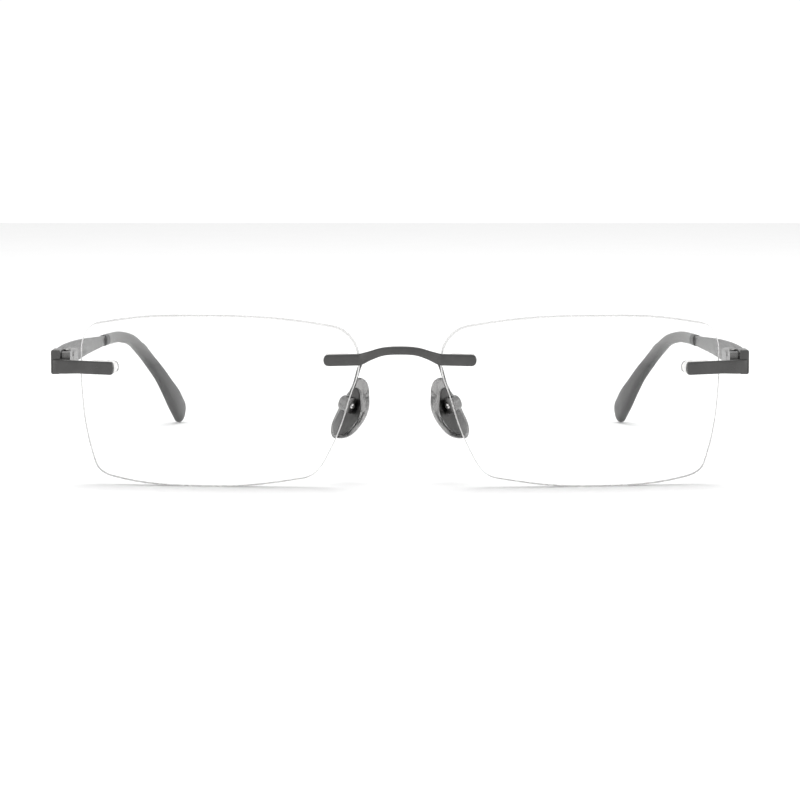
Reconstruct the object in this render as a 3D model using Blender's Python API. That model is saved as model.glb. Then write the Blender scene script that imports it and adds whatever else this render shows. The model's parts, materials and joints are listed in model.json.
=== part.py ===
"""Rimless spectacles: two drilled lenses on a bridge and two endpieces, with sprung folding temples.

Shapes are drawn once, in millimetres, as (out, depth, height) on the wearer's left side: `out` from the
middle plane, `depth` back from the middle of the lens fronts and `height` above the surface that the lens
bottoms and temple tips stand on. finish() mirrors them and turns them into metres: X is across the face
(the wearer's left is +X), Y runs back to the temple tips and Z is up.
"""
from math import cos, pi, radians, sin, sqrt

import bmesh
import bpy
from mathutils import Vector

MM = 0.001
SIDES = {"right": -1, "left": 1}
UP = Vector((0, 0, 1))
BACK = Vector((0, 1, 0))

# Driving dimensions, in millimetres and degrees
LENS_WIDTH = 55.8
BRIDGE_WIDTH = 15.9
LENS_THICKNESS = 2.0
LENS_EDGE_BEVEL = 0.2
FRONT_RADIUS = 132.0
WRAP = radians(6)
PANTOSCOPIC_TILT = radians(5)
FIT_GAP = 0.05
MIDDLE_DEPTH = 64.5

# The lens and what it carries
LENS_OUT = (BRIDGE_WIDTH + LENS_WIDTH) / 2 + 0.25
LENS_MIDDLE_HEIGHT = 17.02
HOLE_RADIUS = 0.8
PIN_RADIUS = 0.38
SLEEVE_RADIUS = 0.73
PLUG_THICKNESS = 0.6
PLUG_HEIGHT = 2.5
BRIDGE_UP = 8.45
ENDPIECE_UP = 6.5
BRIDGE_HOLES = (25.3, 22.4)
ENDPIECE_HOLES = (-25.5, -22.6)

# The bridge and the endpiece bars
BRIDGE_THICKNESS = 1.1
LUG_HEIGHT = 2.3
LUG_LENGTH = 6.8
BAR_LENGTH = 7.05
BAR_HEIGHT = 2.6
BAR_THICKNESS = 1.1
SIDE_PLATE_OUT = (67.6, 69.45)
SIDE_PLATE_DEPTH = (5.7, 10.7)
SIDE_PLATE_HEIGHT = (22.2, 27.05)

# The hinge
HINGE_OUT = 66.95
HINGE_DEPTH = 12.0
HINGE_RADIUS = 1.15
HINGE_HEIGHT = (22.35, 26.45)
SLOT_HEIGHT = (23.55, 25.25)
SCREW_RADIUS = 0.45
SCREW_HEAD = 0.85
ROD_RADIUS = 0.33
HOUSING_DEPTH = (14.1, 23.4)
HOUSING_HEIGHT = (22.6, 26.2)
BORE_RADIUS = 0.85
BORE_END = 22.7
BUSH_END = 15.2
STOP_DEPTH = (21.0, 21.9)
SPRING_DEPTH = (15.3, 20.9)
SPRING_TURNS = 7
WIRE_RADIUS = 0.11

# The temple: out, depth, height, thickness, width in side view
TEMPLE_STATIONS = (
    (68.8, 10.85, 24.42, 1.15, 4.7),
    (68.8, 24.0, 24.38, 1.15, 4.65),
    (68.3, 46.0, 24.03, 1.1, 4.1),
    (67.45, 62.0, 23.78, 1.1, 3.2),
    (66.25, 76.0, 23.55, 1.1, 2.3),
)
# The moulded tip that covers the temple's end, down behind the ear
TIP_STATIONS = (
    (66.05, 78.0, 23.52, 1.9, 2.6),
    (65.2, 87.0, 23.4, 2.0, 2.6),
    (63.6, 96.0, 23.05, 2.05, 2.6),
    (61.75, 102.0, 21.75, 2.1, 2.75),
    (59.8, 107.5, 18.85, 2.1, 3.0),
    (58.05, 112.5, 15.6, 2.1, 3.3),
    (56.5, 117.0, 12.55, 2.15, 3.8),
    (55.1, 121.3, 9.15, 2.3, 4.75),
    (53.85, 125.6, 5.9, 2.5, 5.9),
    (52.9, 129.4, 3.0, 2.4, 6.0),
)
TIP_STEPS = 2
CORE_SIZE = (0.9, 1.3)
CORE_LAST_ROW = 12

# The nose pad: where the middle of its arm side is, and how it is turned
PAD_MIDDLE = Vector((9.69, 8.0, 15.84))
PAD_SPLAY = radians(38)
PAD_FLARE = radians(20.5)
PAD_SCREW_OFFSET = 0.95
PAD_BOX_LEVELS = (0.35, 2.4)
PAD_BOX_HALF_LENGTH = 1.6
PAD_BOX_HALF_WIDTH = 1.4
PAD_BORE_RADIUS = 0.35
PAD_PLATE_THICKNESS = 0.8

MATERIALS = {
    # name: colour, roughness, metallic, alpha
    "gunmetal": ((0.10, 0.10, 0.098), 0.32, 1.0, 1.0),
    "bright_steel": ((0.62, 0.62, 0.61), 0.22, 1.0, 1.0),
    "lens": ((0.97, 0.98, 0.98), 0.02, 0.0, 0.18),
    "clear_plug": ((0.90, 0.91, 0.90), 0.10, 0.0, 0.45),
    "pad_silicone": ((0.72, 0.72, 0.70), 0.25, 0.0, 0.55),
    "smoke_tip": ((0.20, 0.20, 0.20), 0.28, 0.0, 0.9),
}

# Outlines as (x, y, heading x, heading y), joined by one curve. The lens runs (towards the nose, up)
LENS_OUTLINE = (
    (-27.75, 9.6, -0.02, 1),
    (-26.5, 13.85, 0.6, 1),
    (-23.0, 15.5, 1, 0.19),
    (-7.0, 17.1, 1, 0.01),
    (22.6, 14.95, 1, -0.2),
    (27.9, 7.9, 0, -1),
    (25.7, -0.4, -0.28, -1),
    (21.3, -11.3, -0.48, -0.9),
    (16.4, -15.55, -1, -0.15),
    (-1.0, -17.2, -1, 0),
    (-21.0, -15.9, -1, 0.2),
    (-25.4, -13.0, -0.3, 1),
    (-27.85, 3.0, -0.05, 1),
)
# The pad runs (down its length, back across its width)
PAD_OUTLINE = (
    (-5.7, 0.7, 0, -1),
    (-2.7, -2.7, 1, -0.75),
    (0.4, -3.85, 1, 0),
    (4.3, -2.7, 1, 0.5),
    (7.5, 1.7, 0.2, 1),
    (6.5, 3.6, -0.8, 0.5),
    (2.0, 3.8, -1, -0.05),
    (-2.5, 2.4, -1, -0.5),
)
# The plate in the pad has the pad's outline, smaller and lower, so the pad's top stays clear
PLATE_SCALE = (0.78, 0.88)
PLATE_SHIFT = 0.95


# ---------------------------------------------------------------- curves and closed shapes
def closed_outline(anchors, steps):
    """Points on one smooth closed curve through the anchors, along their headings."""
    points = []
    for start, end in zip(anchors, anchors[1:] + anchors[:1]):
        first = Vector(start[:2])
        last = Vector(end[:2])
        handle = 0.38 * (last - first).length
        leave = first + Vector(start[2:]).normalized() * handle
        arrive = last - Vector(end[2:]).normalized() * handle
        for step in range(steps):
            t = step / steps
            points.append(
                first * (1 - t) ** 3
                + leave * 3 * t * (1 - t) ** 2
                + arrive * 3 * t * t * (1 - t)
                + last * t**3
            )
    return points


def smooth_rows(stations, steps):
    """Rows of numbers on one smooth curve through the stations; the first three are a place."""
    rows = [Vector(station) for station in stations]
    spans = [(b.xyz - a.xyz).length for a, b in zip(rows, rows[1:])]
    slopes = [(b - a) / span for a, b, span in zip(rows, rows[1:], spans)]
    middle = [
        (a * after + b * before) / (before + after)
        for a, b, before, after in zip(slopes, slopes[1:], spans, spans[1:])
    ]
    headings = [slopes[0]] + middle + [slopes[-1]]
    result = []
    for i, span in enumerate(spans):
        for step in range(steps):
            t = step / steps
            result.append(
                rows[i] * (2 * t**3 - 3 * t**2 + 1)
                + headings[i] * span * (t**3 - 2 * t**2 + t)
                + rows[i + 1] * (3 * t**2 - 2 * t**3)
                + headings[i + 1] * span * (t**3 - t**2)
            )
    return result + [rows[-1]]


def loft(rings, closed=False):
    """A closed body through equal rings of points; its end rings are filled unless it closes on itself."""
    shape = bmesh.new()
    loops = [[shape.verts.new(point) for point in ring] for ring in rings]
    pairs = list(zip(loops, loops[1:]))
    if closed:
        pairs.append((loops[-1], loops[0]))
    count = len(loops[0])
    for before, after in pairs:
        for i in range(count):
            j = (i + 1) % count
            shape.faces.new((before[i], before[j], after[j], after[i]))
    if not closed:
        shape.faces.new(loops[0])
        shape.faces.new(loops[-1])
    return shape


def rounded_ring(middle, across, up, width, height, corner, steps=2):
    """A rounded rectangle of points, `width` along across and `height` along up."""
    corner = min(corner, width / 2, height / 2)
    ring = []
    for quarter, (x, y) in enumerate(((1, 1), (-1, 1), (-1, -1), (1, -1))):
        centre = middle + across * x * (width / 2 - corner) + up * y * (height / 2 - corner)
        for step in range(steps + 1):
            angle = (quarter + step / steps) * pi / 2
            ring.append(centre + (across * cos(angle) + up * sin(angle)) * corner)
    return ring


def sweep_rings(rows, corner, grow=0.0, steps=2):
    """Rounded sections square to a path of rows (place, thickness lying level, width)."""
    rings = []
    for i, row in enumerate(rows):
        along = rows[min(i + 1, len(rows) - 1)].xyz - rows[max(i - 1, 0)].xyz
        along = Vector(along).normalized()
        across = along.cross(UP).normalized()
        up = across.cross(along)
        thickness, width = row[3] + grow, row[4] + grow
        rings.append(rounded_ring(Vector(row.xyz), across, up, thickness, width, corner, steps))
    return rings


def circle(middle, axis, radius, segments, start=None):
    """Points round an axis."""
    first = start or (UP if abs(axis.dot(UP)) < 0.9 else BACK)
    first = (first - axis * first.dot(axis)).normalized()
    second = axis.cross(first)
    angles = [2 * pi * i / segments for i in range(segments)]
    return [middle + (first * cos(a) + second * sin(a)) * radius for a in angles]


def turned(profile, start, axis, segments=16, closed=False):
    """A round piece from (radius, distance along the axis) steps."""
    rings = [circle(start + axis * along, axis, radius, segments) for radius, along in profile]
    return loft(rings, closed)


def rod(start, end, radius, segments=16):
    """A plain round bar."""
    axis = (end - start).normalized()
    return turned(((radius, 0), (radius, (end - start).length)), start, axis, segments)


def block(low, high):
    """A box between two corners."""
    corners = ((low[0], low[1]), (high[0], low[1]), (high[0], high[1]), (low[0], high[1]))
    return loft([[Vector((x, y, z)) for x, y in corners] for z in (low[2], high[2])])


def plate(points, low, high):
    """An outline of (out, depth) points, extruded upwards."""
    return loft([[Vector((x, y, z)) for x, y in points] for z in (low, high)])


# ---------------------------------------------------------------- objects
def make_material(name):
    """A Principled material in the piece's own colour."""
    colour, roughness, metallic, alpha = MATERIALS[name]
    material = bpy.data.materials.new(name)
    material.use_nodes = True
    material.diffuse_color = (*colour, alpha)
    shader = material.node_tree.nodes["Principled BSDF"]
    shader.inputs["Base Color"].default_value = (*colour, 1)
    shader.inputs["Roughness"].default_value = roughness
    shader.inputs["Metallic"].default_value = metallic
    shader.inputs["Alpha"].default_value = alpha
    return material


def finish(name, shape, side=1, material=None, pivot=None):
    """Mirror a shape to its side, turn it into metres and make it an object on its pivot empty."""
    origin = pivot.location if pivot else Vector()
    for vertex in shape.verts:
        out, depth, height = vertex.co
        vertex.co = Vector((side * out, depth - MIDDLE_DEPTH, height)) * MM - origin
    bmesh.ops.recalc_face_normals(shape, faces=shape.faces)
    mesh = bpy.data.meshes.new(name)
    shape.to_mesh(mesh)
    shape.free()
    mesh.shade_smooth()
    mesh.set_sharp_from_angle(angle=radians(35))
    piece = bpy.data.objects.new(name, mesh)
    bpy.context.scene.collection.objects.link(piece)
    piece.parent = pivot
    if material:
        mesh.materials.append(make_material(material))
        piece.data.materials[0].name = name + "_" + material
    return piece


def shape_with(piece, operation, name, shape, side, pivot=None):
    """Add or cut a shape from a piece with an exact Boolean; the shape itself stays a hidden guide."""
    guide = finish(piece.name + "_" + name, shape, side, None, pivot)
    guide.hide_render = True
    guide.display_type = "WIRE"
    boolean = piece.modifiers.new(name, "BOOLEAN")
    boolean.operation = operation
    boolean.solver = "EXACT"
    boolean.object = guide


def pivot_empty(name, side, place):
    """An empty on a joint's axis."""
    empty = bpy.data.objects.new(name, None)
    out, depth, height = place
    empty.location = Vector((side * out, depth - MIDDLE_DEPTH, height)) * MM
    empty.empty_display_size = 4 * MM
    bpy.context.scene.collection.objects.link(empty)
    return empty


# ---------------------------------------------------------------- lenses and what clips to them
def lens_place(nasal, up, behind):
    """A place on a shell concentric with the lens, `behind` mm behind its front."""
    bow = FRONT_RADIUS - sqrt((FRONT_RADIUS - behind) ** 2 - nasal**2 - up**2)
    return turn_lens(nasal, bow, up)


def turn_lens(nasal, back, up):
    """The lens's own axes, tilted and wrapped to their place on the face."""
    depth = back * cos(PANTOSCOPIC_TILT) - up * sin(PANTOSCOPIC_TILT)
    height = up * cos(PANTOSCOPIC_TILT) + back * sin(PANTOSCOPIC_TILT)
    out = -nasal * cos(WRAP) - depth * sin(WRAP)
    return Vector((LENS_OUT + out, depth * cos(WRAP) - nasal * sin(WRAP), LENS_MIDDLE_HEIGHT + height))


def lens_normal(nasal, up):
    """Straight through the lens at a place on it, from front to back."""
    return (turn_lens(0, FRONT_RADIUS, 0) - lens_place(nasal, up, 0)).normalized()


def make_lens(word, side):
    outline = closed_outline(LENS_OUTLINE, 4)
    bevel = 1 - LENS_EDGE_BEVEL / 20
    shells = ((0.3, 0), (0.7, 0), (bevel, 0), (1, LENS_EDGE_BEVEL))
    rings = [[lens_place(*(p * scale), behind) for p in outline] for scale, behind in shells]
    rings += [
        [lens_place(*(p * scale), LENS_THICKNESS - behind) for p in outline]
        for scale, behind in reversed(shells)
    ]
    lens = finish(word + "_lens", loft(rings), side, "lens")
    for up, holes in ((BRIDGE_UP, BRIDGE_HOLES), (ENDPIECE_UP, ENDPIECE_HOLES)):
        through = lens_normal(sum(holes) / 2, up)
        for number, nasal in enumerate(holes):
            front = lens_place(nasal, up, 0)
            drill = rod(front - through * 2, front + through * 4, HOLE_RADIUS)
            label = ("bridge" if nasal > 0 else "endpiece") + "_hole_" + str(number + 1)
            shape_with(lens, "DIFFERENCE", label, drill, side)


def add_pins(piece, side, up, holes, bar_thickness):
    """The two pins behind a bar, through the lens and its plug."""
    through = lens_normal(sum(holes) / 2, up)
    reach = LENS_THICKNESS + PLUG_THICKNESS + 2 * FIT_GAP
    for nasal in holes:
        start = lens_place(nasal, up, -FIT_GAP) - through * bar_thickness / 2
        end = lens_place(nasal, up, 0) + through * reach
        label = f"pin_{abs(nasal):.0f}_{'left' if side > 0 else 'right'}"
        shape_with(piece, "UNION", label, rod(start, end, PIN_RADIUS, 12), side)


def make_plug(name, side, up, holes, extra):
    """The clear double sleeve pressed in from behind, whose plate runs `extra` mm on past a hole."""
    through = lens_normal(sum(holes) / 2, up)
    along = (lens_place(holes[1], up, 0) - lens_place(holes[0], up, 0)).normalized()
    across = through.cross(along).normalized()
    to_plate = through * (LENS_THICKNESS + 2 * FIT_GAP)
    middle = lens_place(sum(holes) / 2, up, 0) + to_plate + along * extra / 2
    length = abs(holes[0] - holes[1]) + 2.2 + extra
    levels = (0, PLUG_THICKNESS)
    rings = [
        rounded_ring(middle + through * level, along, across, length, PLUG_HEIGHT, 1.0, 3)
        for level in levels
    ]
    plug = finish(name, loft(rings), side, "clear_plug")
    for number, nasal in enumerate(holes):
        centre = lens_place(nasal, up, 0) + to_plate
        sleeve = rod(centre - through * 1.95, centre + through * 0.2, SLEEVE_RADIUS)
        shape_with(plug, "UNION", f"sleeve_{number + 1}", sleeve, side)
        bore = rod(centre - through * 3, centre + through * 2, PIN_RADIUS + FIT_GAP, 12)
        shape_with(plug, "DIFFERENCE", f"bore_{number + 1}", bore, side)


def lug_rows(way, up, length, height, thickness):
    """Rows along the lens front from a bar's rounded inner end to the lens edge, on either side."""
    first = way * (LENS_WIDTH / 2 - length)
    lift = -FIT_GAP - thickness / 2
    ends = ((0, 0.25), (0.12, 0.6), (0.4, 0.87), (0.95, 1.0))
    marks = [(along, height * share) for along, share in ends]
    marks += [(length * third / 3, height) for third in (1, 2, 3)]
    return [(*lens_place(first + way * along, up, lift), thickness, tall) for along, tall in marks]


def make_bridge():
    half = lug_rows(1, BRIDGE_UP, LUG_LENGTH, LUG_HEIGHT, BRIDGE_THICKNESS)
    half.append((6.2, -1.85, 26.4, BRIDGE_THICKNESS, 1.85))
    half.append((3.4, -2.5, 27.35, BRIDGE_THICKNESS, 1.65))
    middle = (0, -2.7, 27.6, BRIDGE_THICKNESS, 1.65)
    other_half = [(-row[0], *row[1:]) for row in reversed(half)]
    rows = smooth_rows(half + [middle] + other_half, 2)
    bridge = finish("bridge", loft(sweep_rings(rows, 0.35)), 1, "gunmetal")
    for side in SIDES.values():
        add_pins(bridge, side, BRIDGE_UP, BRIDGE_HOLES, BRIDGE_THICKNESS)


def make_endpiece(word, side):
    """The bar on the lens front, carried round the corner into the plate that the hinge is on."""
    rows = lug_rows(-1, ENDPIECE_UP, BAR_LENGTH, BAR_HEIGHT, BAR_THICKNESS)
    corner = SIDE_PLATE_OUT[1] - BAR_THICKNESS / 2
    height = rows[-1][2] + 0.05
    depth = rows[-1][1] + 0.55
    rows.append((corner - 1.6, depth, height, BAR_THICKNESS, 2.85))
    rows.append((corner - 0.3, depth + 0.45, height, BAR_THICKNESS, 2.85))
    rows.append((corner, depth + 1.6, height, BAR_THICKNESS, 2.85))
    rows.append((corner, depth + 3.2, height, BAR_THICKNESS, 2.9))
    rings = sweep_rings(smooth_rows(rows, 2), 0.35)
    endpiece = finish(word + "_endpiece", loft(rings), side, "gunmetal")
    size = [high - low for low, high in (SIDE_PLATE_OUT, SIDE_PLATE_HEIGHT)]
    centre = [sum(span) / 2 for span in (SIDE_PLATE_OUT, SIDE_PLATE_HEIGHT)]
    rings = [
        rounded_ring(Vector((centre[0], y, centre[1])), Vector((1, 0, 0)), UP, *size, 0.4)
        for y in SIDE_PLATE_DEPTH
    ]
    shape_with(endpiece, "UNION", "side_plate", loft(rings), side)
    add_pins(endpiece, side, ENDPIECE_UP, ENDPIECE_HOLES, BAR_THICKNESS)


# ---------------------------------------------------------------- the sprung hinge
def hinge_outline(radius, front, outer):
    """A tongue with a round end about the hinge axis, from (out, depth) at its square end."""
    steps = 10
    arc = [
        (HINGE_OUT - radius * cos(pi * i / steps), HINGE_DEPTH + radius * sin(pi * i / steps))
        for i in range(steps + 1)
    ]
    return [(HINGE_OUT - radius, front)] + arc + [(HINGE_OUT + radius, 10.9), (outer, 10.7), (outer, front)]


def make_front_hinge(word, side):
    outline = hinge_outline(HINGE_RADIUS, 7.6, SIDE_PLATE_OUT[0] - FIT_GAP)
    hinge = finish(word + "_front_hinge", plate(outline, *HINGE_HEIGHT), side, "gunmetal")
    slot = block((60, 10.6, SLOT_HEIGHT[0]), (70, 16, SLOT_HEIGHT[1]))
    shape_with(hinge, "DIFFERENCE", "slot", slot, side)
    low = Vector((HINGE_OUT, HINGE_DEPTH, 20))
    bore = rod(low, low + UP * 10, SCREW_RADIUS + FIT_GAP)
    shape_with(hinge, "DIFFERENCE", "bore", bore, side)


def make_hinge_screw(word, side):
    foot = Vector((HINGE_OUT, HINGE_DEPTH, HINGE_HEIGHT[0] + 0.05))
    neck = HINGE_HEIGHT[1] + FIT_GAP - foot.z
    profile = (
        (SCREW_RADIUS - 0.1, 0),
        (SCREW_RADIUS, 0.1),
        (SCREW_RADIUS, neck),
        (SCREW_HEAD, neck),
        (SCREW_HEAD, neck + 0.3),
        (SCREW_HEAD - 0.12, neck + 0.42),
    )
    screw = finish(word + "_hinge_screw", turned(profile, foot, UP, 20), side, "bright_steel")
    top = foot.z + neck + 0.22
    slot = block((60, HINGE_DEPTH - 0.1, top), (70, HINGE_DEPTH + 0.1, top + 1))
    shape_with(screw, "DIFFERENCE", "slot", slot, side)


def make_hinge_tongue(word, side, pivot):
    """The tongue between the leaves, with the rod that slides in the temple's spring housing."""
    radius = HINGE_RADIUS - 0.05
    steps = 10
    arc = [
        (HINGE_OUT + radius * cos(pi * i / steps), HINGE_DEPTH - radius * sin(pi * i / steps))
        for i in range(steps + 1)
    ]
    back = HOUSING_DEPTH[0] - FIT_GAP
    outline = arc + [(HINGE_OUT - radius, back), (HINGE_OUT + radius, back)]
    low, high = SLOT_HEIGHT[0] + FIT_GAP, SLOT_HEIGHT[1] - FIT_GAP
    tongue = finish(word + "_hinge_tongue", plate(outline, low, high), side, "gunmetal", pivot)
    middle = (low + high) / 2
    bore = rod(Vector((HINGE_OUT, HINGE_DEPTH, 20)), Vector((HINGE_OUT, HINGE_DEPTH, 30)), SCREW_RADIUS + FIT_GAP)
    shape_with(tongue, "DIFFERENCE", "bore", bore, side, pivot)
    slide = rod(Vector((HINGE_OUT, 13.5, middle)), Vector((HINGE_OUT, STOP_DEPTH[1], middle)), ROD_RADIUS, 12)
    shape_with(tongue, "UNION", "rod", slide, side, pivot)


def rod_middle(depth):
    """A place on the hinge rod's axis."""
    return Vector((HINGE_OUT, depth, sum(SLOT_HEIGHT) / 2))


def make_collar(name, side, material, pivot, depths, inner, outer):
    """A plain round collar on the hinge rod."""
    length = depths[1] - depths[0]
    profile = ((inner, 0), (outer, 0), (outer, length), (inner, length))
    collar = turned(profile, rod_middle(depths[0]), BACK, 16, closed=True)
    finish(name, collar, side, material, pivot)


def make_spring(word, side, pivot):
    """The coil between the bush in the housing's mouth and the stop on the rod's end."""
    mean = (ROD_RADIUS + BORE_RADIUS) / 2
    start, end = SPRING_DEPTH
    count = SPRING_TURNS * 10
    rings = []
    for i in range(count + 1):
        angle = 2 * pi * SPRING_TURNS * i / count
        outward = Vector((cos(angle), 0, sin(angle)))
        along = Vector((-sin(angle), (end - start) / (2 * pi * SPRING_TURNS * mean), cos(angle)))
        depth = start + WIRE_RADIUS + (end - start - 2 * WIRE_RADIUS) * i / count
        centre = rod_middle(depth) + outward * mean
        rings.append(circle(centre, along.normalized(), WIRE_RADIUS, 5, outward))
    finish(word + "_hinge_spring", loft(rings), side, "bright_steel", pivot)


def make_housing(word, side, pivot):
    """The spring housing on the temple's inner face, bored from its front."""
    centre = sum(HOUSING_HEIGHT) / 2
    height = HOUSING_HEIGHT[1] - HOUSING_HEIGHT[0]
    rings = [
        rounded_ring(Vector((HINGE_OUT, y, centre)), Vector((1, 0, 0)), UP, 2.3, height, 0.35)
        for y in HOUSING_DEPTH
    ]
    housing = finish(word + "_hinge_housing", loft(rings), side, "gunmetal", pivot)
    bore = rod(rod_middle(10), rod_middle(BORE_END), BORE_RADIUS, 20)
    shape_with(housing, "DIFFERENCE", "bore", bore, side, pivot)


# ---------------------------------------------------------------- temples
def make_temple(word, side, pivot):
    """The sprung strip, with the narrow core that carries the moulded tip."""
    strip = smooth_rows(TEMPLE_STATIONS, 3)
    neck = Vector((*TIP_STATIONS[0][:3], *TEMPLE_STATIONS[-1][3:]))
    neck.y -= 0.1
    core = [Vector((*row.xyz, *CORE_SIZE)) for row in smooth_rows(TIP_STATIONS, TIP_STEPS)]
    rings = sweep_rings(strip + [neck], 0.4) + sweep_rings(core[: CORE_LAST_ROW + 1], 0.3)
    finish(word + "_temple", loft(rings), side, "gunmetal", pivot)


def make_temple_tip(word, side, pivot):
    """The moulded tip: a sleeve over the core that widens into a rounded paddle."""
    rows = smooth_rows(TIP_STATIONS, TIP_STEPS)
    bore = [Vector((*row.xyz, *CORE_SIZE)) for row in rows[: CORE_LAST_ROW + 1]]
    last = rows[CORE_LAST_ROW].xyz
    further = last + (last - rows[CORE_LAST_ROW - 1].xyz) * 0.1
    bore.append(Vector((*further, *CORE_SIZE)))
    inside = sweep_rings(bore, 0.3, 2 * FIT_GAP)
    end = rows[-1]
    heading = (end.xyz - rows[-2].xyz).normalized()
    for along, shrink in ((1.0, 0.93), (1.9, 0.75), (2.5, 0.45)):
        place = end.xyz + heading * along
        rows.append(Vector((*place, end[3] * sqrt(shrink), end[4] * shrink)))
    outside = sweep_rings(rows, 0.9)
    finish(word + "_temple_tip", loft(inside[::-1] + outside), side, "smoke_tip", pivot)


# ---------------------------------------------------------------- nose pads
PAD_DOWN = Vector((sin(PAD_FLARE), 0, -cos(PAD_FLARE)))
PAD_LEVEL = Vector((-cos(PAD_FLARE), 0, -sin(PAD_FLARE)))
PAD_NOSEWARD = PAD_LEVEL * cos(PAD_SPLAY) + BACK * sin(PAD_SPLAY)
PAD_BACK = BACK * cos(PAD_SPLAY) - PAD_LEVEL * sin(PAD_SPLAY)
PAD_SCREW_PLACE = PAD_MIDDLE - PAD_NOSEWARD * PAD_SCREW_OFFSET


def pad_place(down, back, noseward):
    """A place in the pad's own axes, from the middle of its arm side."""
    return PAD_MIDDLE + PAD_DOWN * down + PAD_BACK * back + PAD_NOSEWARD * noseward


def pad_ring(scale_down, scale_back, noseward):
    """The pad's outline, scaled and laid at one level."""
    outline = closed_outline(PAD_OUTLINE, 4)
    return [pad_place(p.x * scale_down, p.y * scale_back, noseward) for p in outline]


def make_pad_arm(word, side):
    """The wire from behind the bridge, back round the lens edge and out to the pad box."""
    end = pad_place(-PAD_BOX_HALF_LENGTH - FIT_GAP, 0, -1.35)
    stations = (
        (7.45, -0.55, 25.4, 0.85),
        (7.48, 1.2, 25.3, 0.8),
        (7.75, 2.55, 24.7, 0.8),
        (8.2, 3.2, 23.5, 0.8),
        (8.65, 3.7, 21.9, 0.75),
        (9.05, 4.6, 20.5, 0.75),
        (*(end - PAD_DOWN * 1.4), 0.75),
        (*end, 0.75),
    )
    rows = smooth_rows(stations, 3)
    rings = []
    for i, row in enumerate(rows):
        along = Vector(rows[min(i + 1, len(rows) - 1)].xyz - rows[max(i - 1, 0)].xyz).normalized()
        rings.append(circle(Vector(row.xyz), along, row[3] / 2, 10, Vector((1, 0, 0))))
    finish(word + "_pad_arm", loft(rings), side, "gunmetal")


def drill_pad_bore(piece, side, pivot=None):
    """The hole that the pad's screw passes through."""
    reach = PAD_BACK * 3
    bore = rod(PAD_SCREW_PLACE - reach, PAD_SCREW_PLACE + reach, PAD_BORE_RADIUS, 12)
    shape_with(piece, "DIFFERENCE", "bore", bore, side, pivot)


def make_pad_box(word, side):
    """The open box on the arm that holds the pad's lug, rounded at its outer end."""
    near, far = PAD_BOX_LEVELS
    half = PAD_BOX_HALF_LENGTH
    bend = half * 0.85
    corners = [(-half, near)]
    for middle, first in ((-half + bend, pi), (half - bend, pi / 2)):
        turns = [first - pi / 2 * step / 4 for step in range(5)]
        corners += [(middle + bend * cos(a), far - bend + bend * sin(a)) for a in turns]
    corners.append((half, near))
    centre = (near + far) / 2
    rings = []
    for back, size in ((-1, 0.9), (-0.88, 1), (0.88, 1), (1, 0.9)):
        level = [(down * size, centre + (out - centre) * size) for down, out in corners]
        rings.append([pad_place(down, back * PAD_BOX_HALF_WIDTH, -out) for down, out in level])
    box = finish(word + "_pad_box", loft(rings), side, "gunmetal")
    slot = [
        rounded_ring(pad_place(0, 0, -level), PAD_DOWN, PAD_BACK, 6.0, 1.0, 0.01, 1)
        for level in (-1.0, 1.85)
    ]
    shape_with(box, "DIFFERENCE", "slot", loft(slot), side)
    drill_pad_bore(box, side)


def make_pad_screw(word, side):
    """The pad's screw, with its head at the front of the box."""
    under_head = -PAD_BOX_HALF_WIDTH - FIT_GAP
    profile = (
        (0.42, under_head - 0.4),
        (0.55, under_head - 0.3),
        (0.55, under_head),
        (0.3, under_head),
        (0.3, PAD_BOX_HALF_WIDTH - 0.1),
        (0.22, PAD_BOX_HALF_WIDTH),
    )
    screw = turned(profile, PAD_SCREW_PLACE, PAD_BACK, 16)
    finish(word + "_pad_screw", screw, side, "bright_steel")


def plate_ring(noseward, grow=1.0):
    """The outline of the pad's plate, or of its recess, laid at one level."""
    down, back = PLATE_SCALE
    outline = closed_outline(PAD_OUTLINE, 4)
    return [pad_place(PLATE_SHIFT + p.x * down * grow, p.y * back * grow, noseward) for p in outline]


def make_pad_core(word, side, pivot):
    """The metal plate in the pad and the lug that the screw passes through."""
    rings = [plate_ring(level) for level in (FIT_GAP, FIT_GAP + PAD_PLATE_THICKNESS)]
    core = finish(word + "_pad_core", loft(rings), side, "gunmetal", pivot)
    lug = [
        rounded_ring(pad_place(0, 0, -level), PAD_DOWN, PAD_BACK, 1.9, 0.9, 0.2, 1)
        for level in (-0.25, 1.6)
    ]
    shape_with(core, "UNION", "lug", loft(lug), side, pivot)
    drill_pad_bore(core, side, pivot)


def make_nose_pad(word, side, pivot):
    """The soft pad, domed towards the nose, with a recess for its metal plate."""
    floor = PAD_PLATE_THICKNESS + 2 * FIT_GAP
    rings = [plate_ring(floor, 1.035), plate_ring(0, 1.035)]
    dome = (
        (0.96, 0.95, 0.0),
        (1, 1, 0.4),
        (1, 1, 0.9),
        (0.95, 0.93, 1.6),
        (0.82, 0.79, 2.15),
        (0.58, 0.53, 2.55),
        (0.25, 0.22, 2.7),
    )
    rings += [pad_ring(*level) for level in dome]
    finish(word + "_nose_pad", loft(rings), side, "pad_silicone", pivot)


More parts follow.
